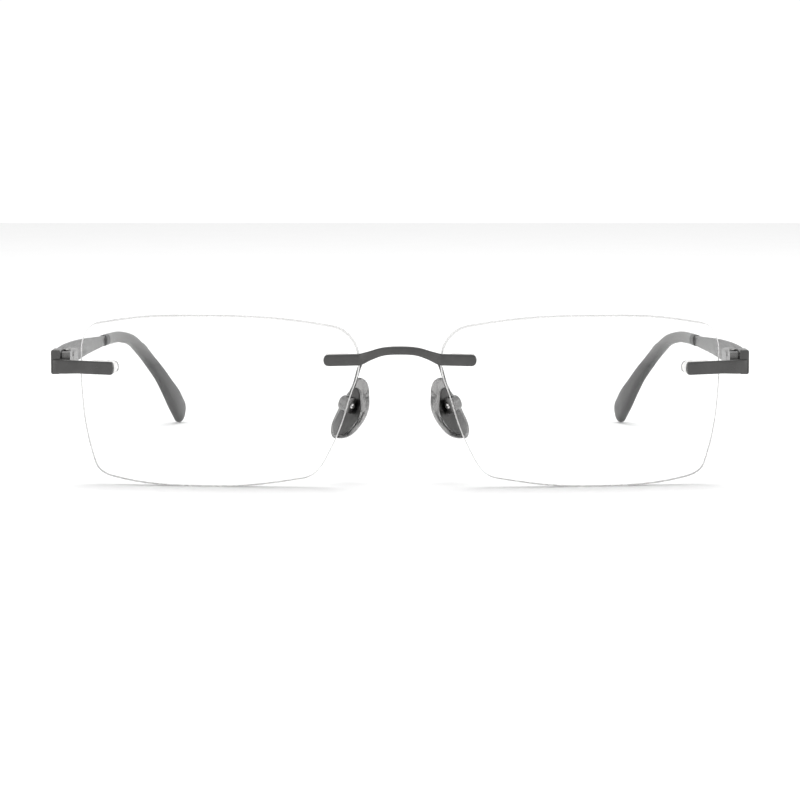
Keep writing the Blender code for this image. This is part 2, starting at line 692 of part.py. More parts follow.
# ---------------------------------------------------------------- assembly
def make_side(word, side):
    make_lens(word, side)
    make_plug(word + "_bridge_plug", side, BRIDGE_UP, BRIDGE_HOLES, 0)
    make_plug(word + "_endpiece_plug", side, ENDPIECE_UP, ENDPIECE_HOLES, 1.0)
    make_endpiece(word, side)
    make_front_hinge(word, side)
    make_hinge_screw(word, side)

    hinge_axis = pivot_empty(word + "_fold_axis", side, (HINGE_OUT, HINGE_DEPTH, sum(SLOT_HEIGHT) / 2))
    make_hinge_tongue(word, side, hinge_axis)
    make_collar(word + "_hinge_stop", side, "bright_steel", hinge_axis, STOP_DEPTH, ROD_RADIUS + FIT_GAP, 0.75)
    make_spring(word, side, hinge_axis)
    bush = (HOUSING_DEPTH[0] + FIT_GAP, BUSH_END)
    make_collar(word + "_hinge_bush", side, "bright_steel", hinge_axis, bush, ROD_RADIUS + FIT_GAP, 0.8)
    make_housing(word, side, hinge_axis)
    make_temple(word, side, hinge_axis)
    make_temple_tip(word, side, hinge_axis)

    pad_axis = pivot_empty(word + "_pad_axis", side, PAD_SCREW_PLACE)
    make_pad_arm(word, side)
    make_pad_box(word, side)
    make_pad_screw(word, side)
    make_pad_core(word, side, pad_axis)
    make_nose_pad(word, side, pad_axis)


def main():
    for old in list(bpy.data.objects):
        bpy.data.objects.remove(old, do_unlink=True)
    make_bridge()
    for word, side in SIDES.items():
        make_side(word, side)


main()
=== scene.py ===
"""The looks of the rimless spectacles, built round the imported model.

Shapes are drawn once, in millimetres, as (out, depth, height) on the wearer's left side: `out` from the
middle plane, `depth` back from the middle of the lens fronts and `height` above the floor. A part is
mirrored for each side and rides on the body that its CAD node belongs to.
"""
import json
from math import ceil, cos, pi, radians, sin, sqrt

import bmesh
import bpy
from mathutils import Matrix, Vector
from mathutils.geometry import delaunay_2d_cdt


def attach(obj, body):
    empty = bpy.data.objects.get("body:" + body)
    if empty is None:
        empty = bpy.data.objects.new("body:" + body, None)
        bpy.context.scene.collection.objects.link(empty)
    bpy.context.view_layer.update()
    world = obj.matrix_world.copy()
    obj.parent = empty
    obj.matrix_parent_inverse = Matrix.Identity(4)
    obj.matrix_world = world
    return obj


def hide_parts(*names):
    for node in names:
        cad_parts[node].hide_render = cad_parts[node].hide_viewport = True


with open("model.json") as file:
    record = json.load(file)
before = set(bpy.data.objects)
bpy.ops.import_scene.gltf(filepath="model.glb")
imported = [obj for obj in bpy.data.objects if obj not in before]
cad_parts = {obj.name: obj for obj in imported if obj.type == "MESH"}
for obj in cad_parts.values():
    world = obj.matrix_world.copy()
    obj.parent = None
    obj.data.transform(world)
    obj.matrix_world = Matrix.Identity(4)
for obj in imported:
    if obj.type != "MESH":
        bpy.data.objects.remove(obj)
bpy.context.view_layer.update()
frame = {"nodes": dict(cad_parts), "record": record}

MM = 0.001
SIDES = {"right": -1, "left": 1}
UP = Vector((0, 0, 1))
BACK = Vector((0, 1, 0))
OUT = Vector((1, 0, 0))

# Driving dimensions, in millimetres and degrees
LENS_WIDTH = 55.8
BRIDGE_WIDTH = 15.9
LENS_THICKNESS = 2.0
LENS_EDGE_BEVEL = 0.16
FRONT_RADIUS = 132.0
WRAP = radians(6)
PANTOSCOPIC_TILT = radians(5)
FIT_GAP = 0.05
SURFACE_PITCH = 1.1
EDGE_PITCH = 0.7

LENS_OUT = (BRIDGE_WIDTH + LENS_WIDTH) / 2 + 0.25
LENS_MIDDLE_HEIGHT = 17.02
HOLE_RADIUS = 0.8
PIN_RADIUS = 0.38
SLEEVE_RADIUS = 0.73
PIN_POINTS = 28
# The rounded end of a pin: how much narrower and how far before the end
PIN_END = ((0, 0.12), (0.06, 0.03), (0.16, 0))
HOLE_POINTS = 32
PLUG_THICKNESS = 0.6
PLUG_HEIGHT = 2.5
PLUG_OVERHANG = 1.1
PLUG_CORNER = 1.0
PLUG_BEVEL = 0.08
SLEEVE_LENGTH = 1.95
SLEEVE_CHAMFER = (0.08, 0.1)
BRIDGE_UP = 8.45
ENDPIECE_UP = 6.5
BRIDGE_HOLES = (25.3, 22.4)
ENDPIECE_HOLES = (-25.5, -22.6)

BRIDGE_THICKNESS = 1.1
LUG_HEIGHT = 2.3
LUG_LENGTH = 6.8
BAR_LENGTH = 7.05
LUG_END_RADIUS = 1.15
BAR_END_RADIUS = 0.6
END_POWER = 2.4
END_LEAST = 0.12
END_THINNING = 0.2
BAR_HEIGHT = 2.6
BAR_THICKNESS = 1.1
BAR_CORNER_HEIGHT = 2.85
BAR_RISE = 0.05
# The bar's path round its corner: how far before the corner, and back from the lens edge
BAR_CORNER = ((1.6, 0.55), (0.3, 1.0), (0, 2.15), (0, 3.75))
LUG_SQUARENESS = 4.5
BAR_SQUARENESS = 5.5
# The half arch of the bridge: out, depth, height, width in front view
BRIDGE_ARCH = (
    (6.2, -1.85, 26.4, 1.85),
    (3.4, -2.5, 27.35, 1.65),
    (0, -2.7, 27.6, 1.65),
)
SIDE_PLATE_OUT = (67.6, 69.45)
SIDE_PLATE_DEPTH = (5.7, 10.7)
SIDE_PLATE_HEIGHT = (22.2, 27.05)
SIDE_PLATE_CORNER = 0.4
SIDE_PLATE_BEVEL = 0.22

HINGE_OUT = 66.95
HINGE_DEPTH = 12.0
HINGE_RADIUS = 1.15
HINGE_HEIGHT = (22.35, 26.45)
SLOT_HEIGHT = (23.55, 25.25)
LEAF_FRONT = 7.6
LEAF_SHOULDER = (10.9, 10.7)
SLOT_DEPTH = (10.6, 16.0)
# How far a cutter reaches past what it cuts
REACH = 5.0
SCREW_RADIUS = 0.45
SCREW_HEAD = 0.85
SCREW_HEAD_DEPTH = 0.24
SCREW_DOME = 0.18
DRIVER_SLOT = 0.2
HOUSING_DEPTH = (14.1, 23.4)
HOUSING_HEIGHT = (22.6, 26.2)
HOUSING_WIDTH = 2.3
HOUSING_CORNER = 0.5
HOUSING_BEVEL = 0.25
BORE_RADIUS = 0.85
BORE_DEPTH = (10.0, 22.7)

# The temple: out, depth, height, thickness, width in side view
TEMPLE_STATIONS = (
    (68.8, 10.85, 24.42, 1.15, 4.7),
    (68.8, 24.0, 24.38, 1.15, 4.65),
    (68.3, 46.0, 24.03, 1.1, 4.1),
    (67.45, 62.0, 23.78, 1.1, 3.2),
    (66.25, 76.0, 23.55, 1.1, 2.3),
)
# The moulded tip that covers the temple's end, down behind the ear
TIP_STATIONS = (
    (66.05, 78.0, 23.52, 1.9, 2.6),
    (65.2, 87.0, 23.4, 2.0, 2.6),
    (63.6, 96.0, 23.05, 2.05, 2.6),
    (61.75, 102.0, 21.75, 2.1, 2.75),
    (59.8, 107.5, 18.85, 2.1, 3.0),
    (58.05, 112.5, 15.6, 2.1, 3.3),
    (56.5, 117.0, 12.55, 2.15, 3.8),
    (55.1, 121.3, 9.15, 2.3, 4.75),
    (53.85, 125.6, 5.9, 2.5, 5.9),
    (52.9, 129.4, 3.0, 2.4, 6.0),
)
# The eased start of the strip: how far back, and what is off its thickness and its width
TEMPLE_START = ((0.0, 0.1, 0.04), (0.06, 0.05, 0.02), (0.16, 0.015, 0.006), (0.3, 0.0, 0.0))
NECK_GAP = 0.1
STRIP_SQUARENESS = 9.0
CORE_SQUARENESS = 3.0
TIP_SQUARENESS = 2.7
TIP_STEPS = 8
TIP_END_LENGTH = 2.5
TIP_END_STEPS = 9
TIP_END_TURN = 0.48 * pi
TIP_LIP = 0.15
CORE_SIZE = (0.9, 1.3)
CORE_SHARE = 0.665

# The nose pad: where the middle of its arm side is, and how it is turned
PAD_MIDDLE = Vector((9.69, 8.0, 15.84))
PAD_SPLAY = radians(38)
PAD_FLARE = radians(20.5)
PAD_SCREW_OFFSET = 0.95
PAD_BOX_LEVELS = (0.35, 2.4)
PAD_BOX_HALF_LENGTH = 1.6
PAD_BOX_HALF_WIDTH = 1.4
PAD_BORE_RADIUS = 0.35
PAD_BOX_BEND = 0.85
PAD_BOX_BEVEL = 0.16
PAD_SLOT_SIZE = (6.0, 1.0)
PAD_SLOT_LEVELS = (-1.0, 1.85)
PAD_SCREW_RADIUS = 0.3
PAD_SCREW_HEAD = 0.55
PAD_SCREW_HEAD_DEPTH = 0.24
PAD_SCREW_DOME = 0.16
PAD_SCREW_POINT = (0.22, 0.1)
PAD_DRIVER_SLOT = (3.0, 0.16)
PAD_PLATE_THICKNESS = 0.8
PAD_PLATE_BEVEL = 0.06
PAD_LUG_SIZE = (1.9, 0.9)
PAD_LUG_CORNER = 0.2
PAD_LUG_LEVELS = (-0.25, 1.6)
# The pad arm's wire, from behind the bridge to above its box: out, depth, height, diameter
PAD_ARM_STATIONS = (
    (7.45, -0.55, 25.4, 0.85),
    (7.48, 1.2, 25.3, 0.8),
    (7.75, 2.55, 24.7, 0.8),
    (8.2, 3.2, 23.5, 0.8),
    (8.65, 3.7, 21.9, 0.75),
    (9.05, 4.6, 20.5, 0.75),
)
PAD_ARM_LEVEL = 1.35
PAD_ARM_DIAMETER = 0.75
PAD_ARM_END = 1.4

# Outlines as (x, y, heading x, heading y), joined by one curve. The lens runs (towards the nose, up)
LENS_OUTLINE = (
    (-27.75, 9.6, -0.02, 1),
    (-26.5, 13.85, 0.6, 1),
    (-23.0, 15.5, 1, 0.19),
    (-7.0, 17.1, 1, 0.01),
    (22.6, 14.95, 1, -0.2),
    (27.9, 7.9, 0, -1),
    (25.7, -0.4, -0.28, -1),
    (21.3, -11.3, -0.48, -0.9),
    (16.4, -15.55, -1, -0.15),
    (-1.0, -17.2, -1, 0),
    (-21.0, -15.9, -1, 0.2),
    (-25.4, -13.0, -0.3, 1),
    (-27.85, 3.0, -0.05, 1),
)
# The pad runs (down its length, back across its width)
PAD_OUTLINE = (
    (-5.7, 0.7, 0, -1),
    (-2.7, -2.7, 1, -0.75),
    (0.4, -3.85, 1, 0),
    (4.3, -2.7, 1, 0.5),
    (7.5, 1.7, 0.2, 1),
    (6.5, 3.6, -0.8, 0.5),
    (2.0, 3.8, -1, -0.05),
    (-2.5, 2.4, -1, -0.5),
)
# The plate in the pad has the pad's outline, smaller and lower, so the pad's top stays clear
PLATE_SCALE = (0.78, 0.88)
PLATE_SHIFT = 0.95
# The pad's domed side: its outline's scale down and back, and how far towards the nose
PAD_DOME = (
    (0.96, 0.955, 0.0),
    (0.975, 0.972, 0.03),
    (0.988, 0.985, 0.12),
    (0.997, 0.995, 0.28),
    (1, 1, 0.5),
    (1, 1, 0.85),
    (0.985, 0.975, 1.25),
    (0.945, 0.925, 1.62),
    (0.88, 0.855, 1.96),
    (0.79, 0.755, 2.25),
    (0.67, 0.63, 2.46),
    (0.5, 0.46, 2.61),
    (0.3, 0.27, 2.68),
    (0.1, 0.09, 2.7),
)

# How finely curves are cut
OUTLINE_HANDLE = 0.38
LENS_OUTLINE_STEPS = 40
PAD_OUTLINE_STEPS = 12
SECTION_POINTS = 40
ROUND_POINTS = 40
PATH_STEPS = 12
# Between a lens's edge and its first points, between its rows of points, and how near a triangle's
# middle is to a hole's middle when it fills the hole
BORDER_SHARE = 0.7
ROW_SHARE = 0.87
IN_HOLE_SHARE = 0.99
LEAF_STEPS = 28
LUG_END_STEPS = 10
LUG_STEPS = 8
BEVEL_STEPS = 3
BEVEL_ANGLE = radians(32)

FOLD = next(joint for joint in frame["record"]["behaviour"]["joints"] if joint["name"] == "left_fold")
MIDDLE_DEPTH = HINGE_DEPTH - FOLD["pos_m"][1] / MM
BODY_OF = {
    node: body for body, nodes in frame["record"]["behaviour"]["bodies"].items() for node in nodes
}


# ---------------------------------------------------------------- materials
def node(tree, kind, **values):
    """A shader node with its values set, by socket name or by property."""
    made = tree.nodes.new(kind)
    for name, value in values.items():
        socket = name.replace("_", " ")
        if socket in made.inputs:
            made.inputs[socket].default_value = value
        else:
            setattr(made, name, value)
    return made


def noise_factor(tree, scale, detail=4.0, stretch=(1, 1, 1)):
    """Noise over the piece, `scale` to the metre, drawn out along an axis by `stretch`."""
    place = tree.nodes.new("ShaderNodeTexCoord")
    mapping = node(tree, "ShaderNodeMapping", Scale=stretch)
    noise = node(tree, "ShaderNodeTexNoise", Scale=scale, Detail=detail)
    tree.links.new(place.outputs["Object"], mapping.inputs["Vector"])
    tree.links.new(mapping.outputs["Vector"], noise.inputs["Vector"])
    return noise.outputs["Fac"]


def mapped(tree, factor, low, high):
    """A factor spread over a range of values."""
    spread = node(tree, "ShaderNodeMapRange", From_Min=0.3, From_Max=0.7, To_Min=low, To_Max=high)
    tree.links.new(factor, spread.inputs["Value"])
    return spread.outputs["Result"]


def blended(tree, factor, low, high):
    """Two colours mixed by a factor."""
    ramp = tree.nodes.new("ShaderNodeValToRGB")
    for stop, place, colour in zip(ramp.color_ramp.elements, (0.3, 0.7), (low, high)):
        stop.position = place
        stop.color = (*colour, 1)
    tree.links.new(factor, ramp.inputs["Fac"])
    return ramp.outputs["Color"]


def bumped(tree, factor, strength, distance):
    """A normal roughened by a factor."""
    bump = node(tree, "ShaderNodeBump", Strength=strength, Distance=distance)
    tree.links.new(factor, bump.inputs["Height"])
    return bump.outputs["Normal"]


def start_material(name, **values):
    """A new material with values set on its shader, its node tree and the shader."""
    material = bpy.data.materials.new(name)
    material.use_nodes = True
    tree = material.node_tree
    shader = tree.nodes["Principled BSDF"]
    for socket, value in values.items():
        shader.inputs[socket.replace("_", " ")].default_value = value
    return material, tree, shader


def metal(name, dark, light, roughness, stretch, grain=0.12):
    """Plated metal with a fine drawn grain along one axis, and slightly cloudy plating."""
    material, tree, shader = start_material(name, Metallic=1.0)
    cloud = noise_factor(tree, 420, 5)
    brushed = noise_factor(tree, 2600, 3, stretch)
    tree.links.new(blended(tree, cloud, dark, light), shader.inputs["Base Color"])
    tree.links.new(mapped(tree, brushed, *roughness), shader.inputs["Roughness"])
    tree.links.new(bumped(tree, brushed, grain, 0.00001), shader.inputs["Normal"])
    return material


def cloud(tree):
    """A factor for a faintly uneven plastic."""
    return noise_factor(tree, 260, 4)


def painted_tip_shade(tree):
    """A factor of painted shade for the tip's smoky plastic: darker at its collar, at the front, and lower
    down its thick paddle.
    """
    place = tree.nodes.new("ShaderNodeTexCoord")
    parts = tree.nodes.new("ShaderNodeSeparateXYZ")
    # Painted shade: the tip darkens lower down, from 22.5 mm to 14.5 mm above the floor
    drop = node(tree, "ShaderNodeMapRange", From_Min=0.0225, From_Max=0.0145, To_Min=0.25, To_Max=0.75)
    # Painted shade: a dark band at the collar, where the tip's front end meets the strip
    collar = node(tree, "ShaderNodeMapRange", From_Min=0.0182, From_Max=0.0172, To_Min=0.25, To_Max=0.7)
    darker = node(tree, "ShaderNodeMath", operation="MAXIMUM")
    tree.links.new(place.outputs["Object"], parts.inputs["Vector"])
    tree.links.new(parts.outputs["Z"], drop.inputs["Value"])
    tree.links.new(parts.outputs["Y"], collar.inputs["Value"])
    tree.links.new(drop.outputs["Result"], darker.inputs[0])
    tree.links.new(collar.outputs["Result"], darker.inputs[1])
    return darker.outputs["Value"]


def clear(name, first, last, roughness, ior, transmission=1.0, grain=0.0, factor=cloud):
    """A clear or translucent plastic between two colours, faintly uneven in its polish."""
    material, tree, shader = start_material(name, IOR=ior, Transmission_Weight=transmission)
    tree.links.new(blended(tree, factor(tree), first, last), shader.inputs["Base Color"])
    tree.links.new(mapped(tree, noise_factor(tree, 900, 5), *roughness), shader.inputs["Roughness"])
    if grain:
        fine = noise_factor(tree, 3500, 3)
        tree.links.new(bumped(tree, fine, grain, 0.00001), shader.inputs["Normal"])
    return material


def grey(value, warmth=0.01):
    """A grey that is slightly warm, as plated metal is."""
    return (value * (1 + warmth), value, value * (1 - warmth))


SMOKE_GLOSS = 0.2
ALONG_X = (0.05, 1, 1)
ALONG_Y = (1, 0.05, 1)
EVEN = (1, 1, 1)
MATERIALS = {
    "bar_metal": metal("bar_metal", grey(0.084), grey(0.1), (0.26, 0.36), ALONG_X),
    "temple_metal": metal("temple_metal", grey(0.1), grey(0.122), (0.3, 0.4), ALONG_Y),
    "hinge_metal": metal("hinge_metal", grey(0.15), grey(0.18), (0.24, 0.34), EVEN),
    "wire_metal": metal("wire_metal", grey(0.08), grey(0.1), (0.2, 0.3), EVEN),
    "plate_metal": metal("plate_metal", grey(0.07), grey(0.095), (0.26, 0.4), EVEN),
    "screw_metal": metal("screw_metal", grey(0.2), grey(0.26), (0.16, 0.24), EVEN, 0.05),
    "polished_metal": metal("polished_metal", grey(0.62), grey(0.7), (0.12, 0.2), EVEN, 0.05),
    "spring_metal": metal("spring_metal", grey(0.42), grey(0.5), (0.22, 0.3), EVEN, 0.05),
    "lens": clear("lens", (0.985, 0.992, 0.99), (0.995, 0.998, 0.996), (0.0, 0.004), 1.5),
    # The lens's ground edge: a satin finish, its grey partly painted shade so that the outline shows
    # against the white
    "lens_edge": clear("lens_edge", grey(0.58), grey(0.66), (0.2, 0.32), 1.5, 0.5),
    "clear_plug": clear("clear_plug", grey(0.82), grey(0.9), (0.04, 0.12), 1.49),
    "silicone": clear("silicone", grey(0.26), grey(0.31), (0.1, 0.18), 1.42, 1.0, 0.1),
    # The tip's smoky plastic, darkened by painted shade at its collar and lower down its paddle
    "tip_plastic_painted_shade": clear("tip_plastic_painted_shade", grey(0.26), grey(0.01), (0.3, 0.4), 1.35, 0.5, 0.1, painted_tip_shade),
}
SMOKE = MATERIALS["tip_plastic_painted_shade"].node_tree.nodes["Principled BSDF"]
SMOKE.inputs["Specular IOR Level"].default_value = SMOKE_GLOSS


# ---------------------------------------------------------------- curves and closed shapes
def closed_outline(anchors, steps):
    """Points on one smooth closed curve through the anchors, along their headings."""
    points = []
    for start, end in zip(anchors, anchors[1:] + anchors[:1]):
        first = Vector(start[:2])
        last = Vector(end[:2])
        handle = OUTLINE_HANDLE * (last - first).length
        leave = first + Vector(start[2:]).normalized() * handle
        arrive = last - Vector(end[2:]).normalized() * handle
        for step in range(steps):
            t = step / steps
            points.append(
                first * (1 - t) ** 3
                + leave * 3 * t * (1 - t) ** 2
                + arrive * 3 * t * t * (1 - t)
                + last * t**3
            )
    return points


def spaced(points, pitch):
    """The same closed outline with its points evenly spaced."""
    spans = [(b - a).length for a, b in zip(points, points[1:] + points[:1])]
    total = sum(spans)
    count = ceil(total / pitch)
    result = []
    i, passed = 0, 0.0
    for k in range(count):
        want = total * k / count
        while passed + spans[i] < want:
            passed += spans[i]
            i += 1
        result.append(points[i].lerp(points[(i + 1) % len(points)], (want - passed) / spans[i]))
    return result


def inset(points, distance):
    """A closed anticlockwise or clockwise outline, moved in by a distance."""
    area = sum(a.x * b.y - b.x * a.y for a, b in zip(points, points[1:] + points[:1]))
    way = 1 if area > 0 else -1
    moved = []
    for before, point, after in zip(points[-1:] + points[:-1], points, points[1:] + points[:1]):
        along = (after - before).normalized()
        moved.append(point + Vector((-along.y, along.x)) * distance * way)
    return moved


def smooth_rows(stations, steps):
    """Rows of numbers on one smooth curve through the stations; the first three are a place."""
    rows = [Vector(station) for station in stations]
    spans = [(b.xyz - a.xyz).length for a, b in zip(rows, rows[1:])]
    slopes = [(b - a) / span for a, b, span in zip(rows, rows[1:], spans)]
    middle = [
        (a * after + b * before) / (before + after)
        for a, b, before, after in zip(slopes, slopes[1:], spans, spans[1:])
    ]
    headings = [slopes[0]] + middle + [slopes[-1]]
    result = []
    for i, span in enumerate(spans):
        for step in range(steps):
            t = step / steps
            result.append(
                rows[i] * (2 * t**3 - 3 * t**2 + 1)
                + headings[i] * span * (t**3 - 2 * t**2 + t)
                + rows[i + 1] * (3 * t**2 - 2 * t**3)
                + headings[i + 1] * span * (t**3 - t**2)
            )
    return result + [rows[-1]]


def loft(rings, shape=None):
    """A body through equal rings of points; its end rings are filled."""
    shape = shape or bmesh.new()
    loops = [[shape.verts.new(point) for point in ring] for ring in rings]
    for before, after in zip(loops, loops[1:]):
        join_loops(shape, before, after)
    shape.faces.new(loops[0])
    shape.faces.new(loops[-1])
    return shape


def join_loops(shape, before, after):
    """A band of faces between two equal loops."""
    count = len(before)
    faces = []
    for i in range(count):
        j = (i + 1) % count
        faces.append(shape.faces.new((before[i], before[j], after[j], after[i])))
    return faces


def crowned_ring(middle, across, up, width, height, power):
    """A section between an ellipse and a rectangle: the higher the power, the squarer."""
    ring = []
    for i in range(SECTION_POINTS):
        angle = 2 * pi * (i + 0.5) / SECTION_POINTS
        x, y = cos(angle), sin(angle)
        reach = (abs(x) ** power + abs(y) ** power) ** (-1 / power)
        ring.append(middle + across * x * reach * width / 2 + up * y * reach * height / 2)
    return ring


def rounded_ring(middle, across, up, width, height, corner, steps=6):
    """A rounded rectangle of points, `width` along across and `height` along up."""
    corner = min(corner, width / 2, height / 2)
    ring = []
    for quarter, (x, y) in enumerate(((1, 1), (-1, 1), (-1, -1), (1, -1))):
        centre = middle + across * x * (width / 2 - corner) + up * y * (height / 2 - corner)
        for step in range(steps + 1):
            angle = (quarter + step / steps) * pi / 2
            ring.append(centre + (across * cos(angle) + up * sin(angle)) * corner)
    return ring


def heading_at(rows, i):
    """The direction of a path at one row."""
    return Vector(rows[min(i + 1, len(rows) - 1)].xyz - rows[max(i - 1, 0)].xyz).normalized()


def row_axes(rows, i):
    """Across and up of a path at one row, with across level."""
    along = heading_at(rows, i)
    across = along.cross(UP).normalized()
    return across, across.cross(along)


def sweep_rings(rows, power, grow=0.0):
    """Crowned sections square to a path of rows (place, thickness lying level, width)."""
    rings = []
    for i, row in enumerate(rows):
        across, up = row_axes(rows, i)
        middle = Vector(row.xyz)
        rings.append(crowned_ring(middle, across, up, row[3] + grow, row[4] + grow, power))
    return rings


def circle(middle, axis, radius, segments, start=None):
    """Points round an axis."""
    first = start or (UP if abs(axis.dot(UP)) < 0.9 else BACK)
    first = (first - axis * first.dot(axis)).normalized()
    second = axis.cross(first)
    angles = [2 * pi * i / segments for i in range(segments)]
    return [middle + (first * cos(a) + second * sin(a)) * radius for a in angles]


def turned(profile, start, axis, segments=ROUND_POINTS):
    """A round piece from (radius, distance along the axis) steps."""
    rings = [circle(start + axis * along, axis, radius, segments) for radius, along in profile]
    return loft(rings)


def rod(start, end, radius, segments=ROUND_POINTS):
    """A plain round bar."""
    axis = (end - start).normalized()
    return turned(((radius, 0), (radius, (end - start).length)), start, axis, segments)


def block(low, high):
    """A box between two corners."""
    corners = ((low[0], low[1]), (high[0], low[1]), (high[0], high[1]), (low[0], high[1]))
    return loft([[Vector((x, y, z)) for x, y in corners] for z in (low[2], high[2])])


def softened(rings, bevel):
    """A prism's two end rings, with rounded rims added between them."""
    start, end = rings
    along = (end[0] - start[0]).normalized()
    first = []
    last = []
    for step in range(BEVEL_STEPS + 1):
        angle = step / BEVEL_STEPS * pi / 2
        shift = bevel * (1 - sin(angle))
        pull = along * bevel * (1 - cos(angle))
        first.append(pulled([point + pull for point in start], shift))
        last.append(pulled([point - pull for point in end], shift))
    return first + last[::-1]


def pulled(ring, distance):
    """A ring drawn in towards its own middle by a distance."""
    centre = sum(ring, Vector()) / len(ring)
    size = max((point - centre).length for point in ring)
    share = 1 - distance / size
    return [centre + (point - centre) * share for point in ring]


def combined(shape, cutters, operation="DIFFERENCE"):
    """A shape with others cut out of it or added to it by exact Booleans."""
    solid = temporary(shape)
    guides = [temporary(cutter) for cutter in cutters]
    for guide in guides:
        boolean = solid.modifiers.new("boolean", "BOOLEAN")
        boolean.operation = operation
        boolean.solver = "EXACT"
        boolean.object = guide
    bpy.context.view_layer.update()
    graph = bpy.context.evaluated_depsgraph_get()
    result = bmesh.new()
    result.from_mesh(solid.evaluated_get(graph).to_mesh())
    for made in [solid] + guides:
        mesh = made.data
        bpy.data.objects.remove(made, do_unlink=True)
        bpy.data.meshes.remove(mesh)
    return result


def temporary(shape):
    """A shape as an object for one Boolean."""
    bmesh.ops.recalc_face_normals(shape, faces=shape.faces)
    mesh = bpy.data.meshes.new("temporary")
    shape.to_mesh(mesh)
    shape.free()
    made = bpy.data.objects.new("temporary", mesh)
    bpy.context.scene.collection.objects.link(made)
    return made


# ---------------------------------------------------------------- objects
def finish(part, shape, side, materials, bevel=0.0, crease=40):
    """Mirror a shape to its side, turn it into metres, and let it stand for its CAD node."""
    for vertex in shape.verts:
        out, depth, height = vertex.co
        vertex.co = Vector((side * out, depth - MIDDLE_DEPTH, height)) * MM
    bmesh.ops.recalc_face_normals(shape, faces=shape.faces)
    mesh = bpy.data.meshes.new(part)
    shape.to_mesh(mesh)
    shape.free()
    mesh.shade_smooth()
    mesh.set_sharp_from_angle(angle=radians(crease))
    piece = bpy.data.objects.new(part + "_look", mesh)
    bpy.context.scene.collection.objects.link(piece)
    for material in materials:
        mesh.materials.append(MATERIALS[material])
    if bevel:
        rounding = piece.modifiers.new("edges", "BEVEL")
        rounding.width = bevel * MM
        rounding.segments = BEVEL_STEPS
        rounding.limit_method = "ANGLE"
        rounding.angle_limit = BEVEL_ANGLE
        rounding.harden_normals = True
    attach(piece, BODY_OF[part])
    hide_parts(part)


# ---------------------------------------------------------------- lenses and what clips to them
def lens_place(nasal, up, behind):
    """A place on a shell concentric with the lens, `behind` mm behind its front."""
    bow = FRONT_RADIUS - sqrt((FRONT_RADIUS - behind) ** 2 - nasal**2 - up**2)
    return turn_lens(nasal, bow, up)


def turn_lens(nasal, back, up):
    """A place in the lens's own axes, tilted and wrapped to where the lens is."""
    depth = back * cos(PANTOSCOPIC_TILT) - up * sin(PANTOSCOPIC_TILT)
    height = up * cos(PANTOSCOPIC_TILT) + back * sin(PANTOSCOPIC_TILT)
    out = -nasal * cos(WRAP) - depth * sin(WRAP)
    return Vector((LENS_OUT + out, depth * cos(WRAP) - nasal * sin(WRAP), LENS_MIDDLE_HEIGHT + height))


LENS_CENTRE = turn_lens(0, FRONT_RADIUS, 0)


def lens_normal(nasal, up):
    """Straight through the lens at a place on it, from front to back."""
    return (LENS_CENTRE - lens_place(nasal, up, 0)).normalized()


def middle_of(points):
    """The mean of some flat points."""
    return sum(points, Vector((0, 0))) / len(points)


def filling(outline, holes, pitch):
    """Staggered points inside an outline, clear of it and of round holes (centre, radius)."""
    border = inset(outline, pitch * BORDER_SHARE)
    low = Vector((min(p.x for p in border), min(p.y for p in border)))
    high = Vector((max(p.x for p in border), max(p.y for p in border)))
    points = []
    for row in range(ceil((high.y - low.y) / pitch)):
        for column in range(ceil((high.x - low.x) / pitch)):
            spot = low + Vector((column + 0.5 * (row % 2), row * ROW_SHARE)) * pitch
            clear_of_holes = all((spot - centre).length > radius + pitch / 2 for centre, radius in holes)
            if clear_of_holes and inside(spot, border):
                points.append(spot)
    return points


def drilled_face(shape, loops, put, pitch=None):
    """Triangles inside loops[0] and outside the other loops; returns the vertices of each loop."""
    points = [point for loop in loops for point in loop]
    edges = []
    start = 0
    for loop in loops:
        count = len(loop)
        edges += [(start + i, start + (i + 1) % count) for i in range(count)]
        start += count
    centres = [middle_of(loop) for loop in loops[1:]]
    holes = [(c, max((p - c).length for p in loop)) for c, loop in zip(centres, loops[1:])]
    if pitch:
        points += filling(loops[0], holes, pitch)
    found, _, faces, origins, _, _ = delaunay_2d_cdt(points, edges, [], 1, 1e-6)
    vertices = [shape.verts.new(put(spot.x, spot.y)) for spot in found]
    for face in faces:
        middle = middle_of([found[i] for i in face])
        if not any((middle - centre).length < radius * IN_HOLE_SHARE for centre, radius in holes):
            shape.faces.new([vertices[i] for i in face])
    place_of = {old: new for new, olds in enumerate(origins) for old in olds}
    result = []
    start = 0
    for loop in loops:
        result.append([vertices[place_of[start + i]] for i in range(len(loop))])
        start += len(loop)
    for vertex in [v for v in vertices if not v.link_faces]:
        shape.verts.remove(vertex)
    return result


def inside(spot, loop):
    """Whether a spot is inside a closed outline."""
    crossings = 0
    for a, b in zip(loop, loop[1:] + loop[:1]):
        if (a.y > spot.y) != (b.y > spot.y):
            crossings += spot.x < a.x + (spot.y - a.y) / (b.y - a.y) * (b.x - a.x)
    return crossings % 2 == 1


def hole_loop(nasal, up, holes, behind):
    """A drilled hole's rim on a shell of the lens, in the lens's own plane."""
    through = lens_normal(sum(holes) / 2, up)
    rim = circle(lens_place(nasal, up, 0), through, HOLE_RADIUS, HOLE_POINTS, UP)
    return [untilted(point + through * behind) for point in rim]


def untilted(place):
    """A place's (towards the nose, up) in the lens's own plane."""
    out = place.x - LENS_OUT
    nasal = -out * cos(WRAP) - place.y * sin(WRAP)
    depth = place.y * cos(WRAP) - out * sin(WRAP)
    height = place.z - LENS_MIDDLE_HEIGHT
    return Vector((nasal, height * cos(PANTOSCOPIC_TILT) - depth * sin(PANTOSCOPIC_TILT)))


